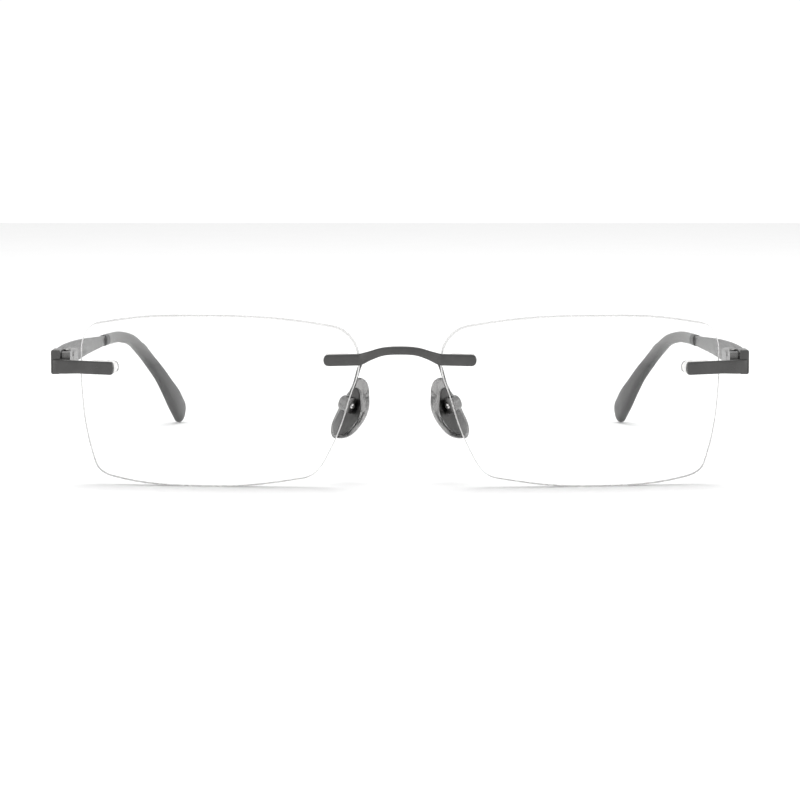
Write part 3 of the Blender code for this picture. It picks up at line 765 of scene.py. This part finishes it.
def make_lens(word, side):
    """A lens with smooth shells, ground edge and polished drilled holes."""
    outline = spaced(closed_outline(LENS_OUTLINE, LENS_OUTLINE_STEPS), EDGE_PITCH)
    bevel = LENS_EDGE_BEVEL
    shape = bmesh.new()
    sides = []
    for behind, lift in ((0, bevel), (LENS_THICKNESS, LENS_THICKNESS - bevel)):
        loops = [inset(outline, bevel)]
        for up, holes in ((BRIDGE_UP, BRIDGE_HOLES), (ENDPIECE_UP, ENDPIECE_HOLES)):
            loops += [hole_loop(nasal, up, holes, behind) for nasal in holes]
        rims = drilled_face(shape, loops, lambda x, y, b=behind: lens_place(x, y, b), SURFACE_PITCH)
        edge = [shape.verts.new(lens_place(p.x, p.y, lift)) for p in outline]
        sides.append((rims, edge))
    (front, front_edge), (back, back_edge) = sides
    ground = join_loops(shape, front[0], front_edge)
    ground += join_loops(shape, front_edge, back_edge)
    ground += join_loops(shape, back_edge, back[0])
    for near, far in zip(front[1:], back[1:]):
        ground += join_loops(shape, near, far)
    for face in ground:
        face.material_index = 1
    finish(word + "_lens", shape, side, ("lens", "lens_edge"), crease=30)


def make_plug(name, side, up, holes, extra):
    """The clear double sleeve pressed in from behind, whose plate runs `extra` mm on past a hole."""
    through = lens_normal(sum(holes) / 2, up)
    along = (lens_place(holes[1], up, 0) - lens_place(holes[0], up, 0)).normalized()
    across = through.cross(along).normalized()
    along = across.cross(through)
    rise = through * (LENS_THICKNESS + 2 * FIT_GAP)
    middle = lens_place(sum(holes) / 2, up, 0) + rise + along * extra / 2
    length = abs(holes[0] - holes[1]) + 2 * PLUG_OVERHANG + extra
    size = (length - 2 * PLUG_BEVEL, PLUG_HEIGHT - 2 * PLUG_BEVEL)
    flat = [p.xy for p in rounded_ring(Vector(), OUT, BACK, *size, PLUG_CORNER, 10)]
    centres = []
    for nasal in holes:
        offset = lens_place(nasal, up, 0) + rise - middle
        centres.append(Vector((offset.dot(along), offset.dot(across))))

    def rims(radius):
        """A circle of flat points round each hole."""
        turns = [2 * pi * i / HOLE_POINTS for i in range(HOLE_POINTS)]
        return [[c + Vector((cos(t), sin(t))) * radius for t in turns] for c in centres]

    def put(level):
        """Where a flat point goes, at one level through the lens."""
        return lambda x, y: middle + along * x + across * y + through * level

    def ring(points, level):
        """Vertices for a loop of flat points at one level."""
        return [shape.verts.new(put(level)(point.x, point.y)) for point in points]

    shape = bmesh.new()
    near = drilled_face(shape, [flat] + rims(SLEEVE_RADIUS), put(0))
    far = drilled_face(shape, [flat] + rims(PIN_RADIUS + FIT_GAP), put(PLUG_THICKNESS))
    wide = inset(flat, -PLUG_BEVEL)
    edges = [ring(wide, level) for level in (PLUG_BEVEL, PLUG_THICKNESS - PLUG_BEVEL)]
    join_loops(shape, near[0], edges[0])
    join_loops(shape, edges[0], edges[1])
    join_loops(shape, edges[1], far[0])
    narrower, shorter = SLEEVE_CHAMFER
    for i in range(len(holes)):
        outer = ring(rims(SLEEVE_RADIUS)[i], shorter - SLEEVE_LENGTH)
        lip = ring(rims(SLEEVE_RADIUS - narrower)[i], -SLEEVE_LENGTH)
        inner = ring(rims(PIN_RADIUS + FIT_GAP)[i], -SLEEVE_LENGTH)
        join_loops(shape, near[i + 1], outer)
        join_loops(shape, outer, lip)
        join_loops(shape, lip, inner)
        join_loops(shape, inner, far[i + 1])
    finish(name, shape, side, ("clear_plug",), crease=35)


def add_pins(shape, up, holes, bar_thickness, mirrored=False):
    """The two round-ended pins behind a bar, through the lens and its plug."""
    through = lens_normal(sum(holes) / 2, up)
    reach = LENS_THICKNESS + PLUG_THICKNESS + 2 * FIT_GAP
    for nasal in holes:
        start = lens_place(nasal, up, 0)
        low = -FIT_GAP - bar_thickness / 2
        profile = [(PIN_RADIUS, low)]
        profile += [(PIN_RADIUS - narrower, reach - shorter) for narrower, shorter in PIN_END]
        rings = [circle(start + through * along, through, radius, PIN_POINTS) for radius, along in profile]
        if mirrored:
            rings = [[Vector((-p.x, p.y, p.z)) for p in ring] for ring in rings]
        loft(rings, shape=shape)


def eased_end(rows, radius, both=False):
    """Rows with their height rounded off over `radius` at the path's start, or at both its ends."""
    places = [0.0]
    for a, b in zip(rows, rows[1:]):
        places.append(places[-1] + (b.xyz - a.xyz).length)
    total = places[-1]
    result = []
    for row, place in zip(rows, places):
        nearest = min(place, total - place) if both else place
        share = 1.0
        if nearest < radius:
            share = (1 - (1 - nearest / radius) ** END_POWER) ** (1 / END_POWER)
        share = max(share, END_LEAST)
        row = row.copy()
        row[4] *= share
        row[3] *= 1 - END_THINNING * (1 - share)
        result.append(row)
    return result


def lug_stations(way, up, length, height, thickness, end_radius):
    """Stations along the lens front, close together in the rounded end, then out to the lens edge."""
    first = way * (LENS_WIDTH / 2 - length)
    count = LUG_END_STEPS
    marks = [end_radius * (1 - cos(pi / 2 * k / count)) for k in range(count + 1)]
    count = LUG_STEPS
    marks += [end_radius + (length - end_radius) * k / count for k in range(1, count + 1)]
    lift = -FIT_GAP - thickness / 2
    return [(*lens_place(first + way * along, up, lift), thickness, height) for along in marks]


def opposite(row):
    """The same row on the other side of the middle plane."""
    return (-row[0], *row[1:])


def make_bridge():
    """The drawn bridge: two flat lugs on the lens fronts and the arch between them."""
    lug = lug_stations(1, BRIDGE_UP, LUG_LENGTH, LUG_HEIGHT, BRIDGE_THICKNESS, LUG_END_RADIUS)
    arch = [(*place, BRIDGE_THICKNESS, width) for *place, width in BRIDGE_ARCH]
    half = [lug[-3], lug[-1], *arch]
    curve = smooth_rows(half + [opposite(row) for row in half[-2::-1]], PATH_STEPS)
    rows = [Vector(row) for row in lug[:-1]] + curve[PATH_STEPS:-PATH_STEPS]
    rows += [Vector(opposite(row)) for row in lug[-2::-1]]
    shape = loft(sweep_rings(eased_end(rows, LUG_END_RADIUS, both=True), LUG_SQUARENESS))
    for mirrored in (False, True):
        add_pins(shape, BRIDGE_UP, BRIDGE_HOLES, BRIDGE_THICKNESS, mirrored)
    finish("bridge", shape, 1, ("bar_metal",), crease=50)


def make_endpiece(word, side):
    """The bar on the lens front, carried round the corner into the plate that the hinge is on."""
    lug = lug_stations(-1, ENDPIECE_UP, BAR_LENGTH, BAR_HEIGHT, BAR_THICKNESS, BAR_END_RADIUS)
    corner = SIDE_PLATE_OUT[1] - BAR_THICKNESS / 2
    _, depth, height, *_ = lug[-1]
    section = (height + BAR_RISE, BAR_THICKNESS, BAR_CORNER_HEIGHT)
    turn = [(corner - before, depth + back, *section) for before, back in BAR_CORNER]
    rows = [Vector(row) for row in lug[:-1]] + smooth_rows([lug[-3], lug[-1]] + turn, 10)[10:]
    shape = loft(sweep_rings(eased_end(rows, BAR_END_RADIUS), BAR_SQUARENESS))
    size = [high - low for low, high in (SIDE_PLATE_OUT, SIDE_PLATE_HEIGHT)]
    out, height = [sum(span) / 2 for span in (SIDE_PLATE_OUT, SIDE_PLATE_HEIGHT)]
    rings = [
        rounded_ring(Vector((out, y, height)), OUT, UP, *size, SIDE_PLATE_CORNER) for y in SIDE_PLATE_DEPTH
    ]
    loft(softened(rings, SIDE_PLATE_BEVEL), shape)
    add_pins(shape, ENDPIECE_UP, ENDPIECE_HOLES, BAR_THICKNESS)
    finish(word + "_endpiece", shape, side, ("bar_metal",), crease=50)


# ---------------------------------------------------------------- the sprung hinge
def make_front_hinge(word, side):
    """The two round leaves on the endpiece, with the slot for the temple's tongue."""
    outer = SIDE_PLATE_OUT[0] - FIT_GAP
    turns = [pi * i / LEAF_STEPS for i in range(LEAF_STEPS + 1)]
    outline = [(HINGE_OUT - HINGE_RADIUS, LEAF_FRONT)]
    outline += [(HINGE_OUT - HINGE_RADIUS * cos(t), HINGE_DEPTH + HINGE_RADIUS * sin(t)) for t in turns]
    outline += [(HINGE_OUT + HINGE_RADIUS, LEAF_SHOULDER[0]), (outer, LEAF_SHOULDER[1])]
    outline += [(outer, LEAF_FRONT)]
    solid = loft([[Vector((x, y, z)) for x, y in outline] for z in HINGE_HEIGHT])
    low, high = zip((HINGE_OUT - REACH, HINGE_OUT + REACH), SLOT_DEPTH, SLOT_HEIGHT)
    slot = block(low, high)
    axis = Vector((HINGE_OUT, HINGE_DEPTH, sum(SLOT_HEIGHT) / 2))
    bore = rod(axis - UP * REACH, axis + UP * REACH, SCREW_RADIUS + FIT_GAP)
    finish(word + "_front_hinge", combined(solid, [slot, bore]), side, ("hinge_metal",), bevel=0.09)


def make_hinge_screw(word, side):
    """A slotted screw with a low domed head."""
    foot = Vector((HINGE_OUT, HINGE_DEPTH, HINGE_HEIGHT[0] + 0.05))
    neck = HINGE_HEIGHT[1] + FIT_GAP - foot.z
    rim = neck + SCREW_HEAD_DEPTH
    profile = [(SCREW_RADIUS - 0.1, 0), (SCREW_RADIUS, 0.1), (SCREW_RADIUS, neck), (SCREW_HEAD, neck)]
    profile += [(SCREW_HEAD * cos(t), rim + SCREW_DOME * sin(t)) for t in (0, 0.5, 0.9, 1.25)]
    half = Vector((REACH, DRIVER_SLOT / 2, 0))
    floor = foot + UP * (rim - 0.04)
    slot = block(floor - half, floor + half + UP)
    screw = combined(turned(profile, foot, UP), [slot])
    finish(word + "_hinge_screw", screw, side, ("screw_metal",), bevel=0.03)


def make_housing(word, side):
    """The spring housing on the temple's inner face, bored from its front."""
    centre = sum(HOUSING_HEIGHT) / 2
    size = (HOUSING_WIDTH, HOUSING_HEIGHT[1] - HOUSING_HEIGHT[0], HOUSING_CORNER)
    rings = [rounded_ring(Vector((HINGE_OUT, y, centre)), OUT, UP, *size) for y in HOUSING_DEPTH]
    solid = loft(softened(rings, HOUSING_BEVEL))
    middle = sum(SLOT_HEIGHT) / 2
    bore = rod(*[Vector((HINGE_OUT, depth, middle)) for depth in BORE_DEPTH], BORE_RADIUS)
    finish(word + "_hinge_housing", combined(solid, [bore]), side, ("hinge_metal",))


# ---------------------------------------------------------------- temples
def tip_rows():
    """The moulded tip's rows, all the way down."""
    return smooth_rows(TIP_STATIONS, TIP_STEPS)


def core_rows():
    """The narrow core's rows, down the first part of the tip."""
    rows = tip_rows()
    last = round(CORE_SHARE * (len(rows) - 1))
    return [Vector((*row.xyz, *CORE_SIZE)) for row in rows[: last + 1]]


def make_temple(word, side):
    """The sprung strip, with the narrow core that carries the moulded tip."""
    strip = smooth_rows(TEMPLE_STATIONS, PATH_STEPS)
    lead = []
    for back, thinner, narrower in TEMPLE_START:
        row = strip[0].copy()
        row[1] += back
        row[3] *= 1 - thinner
        row[4] *= 1 - narrower
        lead.append(row)
    neck = Vector((*TIP_STATIONS[0][:3], *TEMPLE_STATIONS[-1][3:]))
    neck.y -= NECK_GAP
    rings = sweep_rings(lead + strip[1:] + [neck], STRIP_SQUARENESS)
    rings += sweep_rings(core_rows(), CORE_SQUARENESS)
    finish(word + "_temple", loft(rings), side, ("temple_metal",), crease=50)


def make_temple_tip(word, side):
    """The moulded tip: a sleeve over the core that widens into a rounded paddle."""
    rows = tip_rows()
    bore = core_rows()
    further = Vector((*bore[-1].xyz.lerp(bore[-2].xyz, -0.12), *CORE_SIZE))
    inside_rings = sweep_rings(bore + [further], CORE_SQUARENESS, 2 * FIT_GAP)
    first, end = rows[0], rows[-1]
    heading = (end.xyz - rows[-2].xyz).normalized()
    for step in range(1, TIP_END_STEPS + 1):
        angle = TIP_END_TURN * step / TIP_END_STEPS
        place = end.xyz + heading * TIP_END_LENGTH * sin(angle)
        rows.append(Vector((*place, end[3] * cos(angle) ** 0.6, end[4] * cos(angle))))
    lip = Vector((*first.xyz, first[3] - 2 * TIP_LIP, first[4] - 2 * TIP_LIP))
    shoulder = Vector((*(first.xyz + (rows[1].xyz - first.xyz).normalized() * TIP_LIP), *first[3:]))
    outside_rings = sweep_rings([lip, shoulder] + rows[1:], TIP_SQUARENESS)
    shape = loft(inside_rings[::-1] + outside_rings)
    finish(word + "_temple_tip", shape, side, ("tip_plastic_painted_shade",), crease=50)


# ---------------------------------------------------------------- nose pads
PAD_DOWN = Vector((sin(PAD_FLARE), 0, -cos(PAD_FLARE)))
PAD_LEVEL = Vector((-cos(PAD_FLARE), 0, -sin(PAD_FLARE)))
PAD_NOSEWARD = PAD_LEVEL * cos(PAD_SPLAY) + BACK * sin(PAD_SPLAY)
PAD_BACK = BACK * cos(PAD_SPLAY) - PAD_LEVEL * sin(PAD_SPLAY)
PAD_SCREW_PLACE = PAD_MIDDLE - PAD_NOSEWARD * PAD_SCREW_OFFSET


def pad_place(down, back, noseward):
    """A place in the pad's own axes, from the middle of its arm side."""
    return PAD_MIDDLE + PAD_DOWN * down + PAD_BACK * back + PAD_NOSEWARD * noseward


def pad_bore():
    """The cutter for the pad screw's hole."""
    reach = PAD_BACK * 3
    return rod(PAD_SCREW_PLACE - reach, PAD_SCREW_PLACE + reach, PAD_BORE_RADIUS, 24)


def pad_block(width, height, corner, levels, steps=1):
    """A rounded block square to the pad, between two levels out from its arm side."""
    size = (width, height, corner, steps)
    return loft([rounded_ring(pad_place(0, 0, -level), PAD_DOWN, PAD_BACK, *size) for level in levels])


def make_pad_arm(word, side):
    """The wire from behind the bridge, back round the lens edge and out to the pad box."""
    end = pad_place(-PAD_BOX_HALF_LENGTH - FIT_GAP, 0, -PAD_ARM_LEVEL)
    last = [(*place, PAD_ARM_DIAMETER) for place in (end - PAD_DOWN * PAD_ARM_END, end)]
    rows = smooth_rows([*PAD_ARM_STATIONS, *last], 9)
    rings = [
        circle(Vector(row.xyz), heading_at(rows, i), row[3] / 2, 28, OUT) for i, row in enumerate(rows)
    ]
    finish(word + "_pad_arm", loft(rings), side, ("wire_metal",), crease=50)


def make_pad_box(word, side):
    """The open box on the arm that holds the pad's lug, rounded at its outer end."""
    near, far = PAD_BOX_LEVELS
    half = PAD_BOX_HALF_LENGTH
    bend = half * PAD_BOX_BEND
    corners = [(-half, near)]
    for middle, first in ((-half + bend, pi), (half - bend, pi / 2)):
        turns = [first - pi / 2 * step / PATH_STEPS for step in range(PATH_STEPS + 1)]
        corners += [(middle + bend * cos(a), far - bend + bend * sin(a)) for a in turns]
    corners.append((half, near))
    ends = (-PAD_BOX_HALF_WIDTH, PAD_BOX_HALF_WIDTH)
    rings = [[pad_place(down, back, -out) for down, out in corners] for back in ends]
    slot = pad_block(*PAD_SLOT_SIZE, 0.01, PAD_SLOT_LEVELS)
    box = combined(loft(softened(rings, PAD_BOX_BEVEL)), [slot, pad_bore()])
    finish(word + "_pad_box", box, side, ("hinge_metal",), bevel=0.04)


def make_pad_screw(word, side):
    """The pad's slotted screw, with its head at the front of the box."""
    under_head = -PAD_BOX_HALF_WIDTH - FIT_GAP
    rim = under_head - PAD_SCREW_HEAD_DEPTH
    profile = [(PAD_SCREW_HEAD * cos(t), rim - PAD_SCREW_DOME * sin(t)) for t in (1.3, 0.9, 0.5, 0)]
    profile += [(PAD_SCREW_HEAD, under_head), (PAD_SCREW_RADIUS, under_head)]
    radius, length = PAD_SCREW_POINT
    profile += [(PAD_SCREW_RADIUS, PAD_BOX_HALF_WIDTH - length), (radius, PAD_BOX_HALF_WIDTH)]
    shape = turned(profile, PAD_SCREW_PLACE, PAD_BACK, 32)
    levels = [PAD_SCREW_PLACE + PAD_BACK * (rim + along) for along in (-0.46, 0.02)]
    size = (*PAD_DRIVER_SLOT, 0.01, 1)
    slot = [rounded_ring(place, PAD_NOSEWARD, PAD_DOWN, *size) for place in levels]
    finish(word + "_pad_screw", combined(shape, [loft(slot)]), side, ("polished_metal",), bevel=0.02)


def plate_ring(noseward, grow=1.0):
    """The outline of the pad's plate, or of its recess, laid at one level."""
    down, back = PLATE_SCALE
    outline = closed_outline(PAD_OUTLINE, PAD_OUTLINE_STEPS)
    return [pad_place(PLATE_SHIFT + p.x * down * grow, p.y * back * grow, noseward) for p in outline]


def make_pad_core(word, side):
    """The metal plate in the pad and the lug that the screw passes through."""
    low, high = FIT_GAP, FIT_GAP + PAD_PLATE_THICKNESS
    rim = PAD_PLATE_BEVEL
    levels = ((low, 0.965), (low + rim, 0.99), (low + 2 * rim, 1), (high - rim, 1), (high, 0.98))
    core = loft([plate_ring(level, grow) for level, grow in levels])
    lug = pad_block(*PAD_LUG_SIZE, PAD_LUG_CORNER, PAD_LUG_LEVELS, 3)
    core = combined(combined(core, [lug], "UNION"), [pad_bore()])
    finish(word + "_pad_core", core, side, ("plate_metal",), crease=35)


def make_nose_pad(word, side):
    """The soft pad, domed towards the nose, with a recess for its metal plate."""
    floor = PAD_PLATE_THICKNESS + 2 * FIT_GAP
    recess = ((floor, 1.02), (floor - PAD_PLATE_BEVEL, 1.03), (0.04, 1.03), (0, 1.035))
    rings = [plate_ring(level, grow) for level, grow in recess]
    outline = closed_outline(PAD_OUTLINE, PAD_OUTLINE_STEPS)
    for down, back, noseward in PAD_DOME:
        rings.append([pad_place(p.x * down, p.y * back, noseward) for p in outline])
    finish(word + "_nose_pad", loft(rings), side, ("silicone",), crease=50)


# ---------------------------------------------------------------- the whole object
KEPT_NODES = {
    "hinge_tongue": "hinge_metal",
    "hinge_stop": "polished_metal",
    "hinge_bush": "polished_metal",
    "hinge_spring": "spring_metal",
}


def make_side(word, side):
    """All the pieces of one side, and better materials on the CAD nodes that stay."""
    make_lens(word, side)
    make_plug(word + "_bridge_plug", side, BRIDGE_UP, BRIDGE_HOLES, 0)
    make_plug(word + "_endpiece_plug", side, ENDPIECE_UP, ENDPIECE_HOLES, 1.0)
    make_endpiece(word, side)
    make_front_hinge(word, side)
    make_hinge_screw(word, side)
    make_housing(word, side)
    make_temple(word, side)
    make_temple_tip(word, side)
    make_pad_arm(word, side)
    make_pad_box(word, side)
    make_pad_screw(word, side)
    make_pad_core(word, side)
    make_nose_pad(word, side)
    for part, material in KEPT_NODES.items():
        mesh = frame["nodes"][word + "_" + part].data
        mesh.materials.clear()
        mesh.materials.append(MATERIALS[material])


# ---------------------------------------------------------------- studio
# In metres and watts
CAMERA_DISTANCE = 0.600
CAMERA_HEIGHT = 0.074
TARGET_HEIGHT = 0.0176
VIEW_HALF_WIDTH = 0.0789
SENSOR = 36.0
FLOOR_HALF_SIZE = 1.4
LAMP_PLACE = (0, 0.1, 0.9)
LAMP_WIDTH = 0.7
LAMP_POWER = 4.0


def make_camera():
    """A long lens a little above the object, square to its front."""
    front = -MIDDLE_DEPTH * MM
    target = Vector((0, front, TARGET_HEIGHT))
    camera = bpy.data.cameras.new("camera")
    holder = bpy.data.objects.new("camera", camera)
    bpy.context.scene.collection.objects.link(holder)
    holder.location = (0, front - CAMERA_DISTANCE, CAMERA_HEIGHT)
    sight = target - holder.location
    holder.rotation_euler = sight.to_track_quat("-Z", "Y").to_euler()
    camera.sensor_width = SENSOR
    camera.lens = SENSOR * sight.length / (2 * VIEW_HALF_WIDTH)
    camera.clip_start = 0.01
    bpy.context.scene.camera = holder


def make_surround():
    """White light from all round, brighter at the two sides and dimmer above."""
    world = bpy.data.worlds.new("studio")
    bpy.context.scene.world = world
    world.use_nodes = True
    tree = world.node_tree
    background = tree.nodes["Background"]
    background.inputs["Color"].default_value = (1, 1, 1, 1)
    place = tree.nodes.new("ShaderNodeTexCoord")
    parts = tree.nodes.new("ShaderNodeSeparateXYZ")
    sideways = node(tree, "ShaderNodeMath", operation="ABSOLUTE")
    banks = node(tree, "ShaderNodeMapRange", From_Min=0.5, From_Max=0.95, To_Min=1.05, To_Max=1.75)
    ceiling = node(tree, "ShaderNodeMapRange", From_Min=0.15, From_Max=0.9, To_Min=1.0, To_Max=0.62)
    strength = node(tree, "ShaderNodeMath", operation="MULTIPLY")
    tree.links.new(place.outputs["Generated"], parts.inputs["Vector"])
    tree.links.new(parts.outputs["X"], sideways.inputs[0])
    tree.links.new(sideways.outputs["Value"], banks.inputs["Value"])
    tree.links.new(parts.outputs["Z"], ceiling.inputs["Value"])
    tree.links.new(banks.outputs["Result"], strength.inputs[0])
    tree.links.new(ceiling.outputs["Result"], strength.inputs[1])
    tree.links.new(strength.outputs["Value"], background.inputs["Strength"])


def make_floor():
    """A plain white floor of matt paper."""
    material, tree, shader = start_material("floor", Roughness=1.0, Specular_IOR_Level=0.0)
    paper = noise_factor(tree, 40, 3)
    tree.links.new(blended(tree, paper, grey(0.965, 0), grey(0.975, 0)), shader.inputs["Base Color"])
    shape = bmesh.new()
    bmesh.ops.create_grid(shape, x_segments=8, y_segments=8, size=FLOOR_HALF_SIZE)
    mesh = bpy.data.meshes.new("floor")
    shape.to_mesh(mesh)
    shape.free()
    mesh.materials.append(material)
    floor = bpy.data.objects.new("floor", mesh)
    bpy.context.scene.collection.objects.link(floor)


def make_lamp():
    """One wide soft lamp overhead, for the soft shadow under the object."""
    lamp = bpy.data.lights.new("overhead", "AREA")
    lamp.shape = "DISK"
    lamp.size = LAMP_WIDTH
    lamp.energy = LAMP_POWER
    holder = bpy.data.objects.new("overhead", lamp)
    holder.location = LAMP_PLACE
    bpy.context.scene.collection.objects.link(holder)


bpy.context.scene.view_settings.view_transform = "Standard"
make_camera()
make_surround()
make_floor()
make_lamp()
make_bridge()
for side_word, side_sign in SIDES.items():
    make_side(side_word, side_sign)
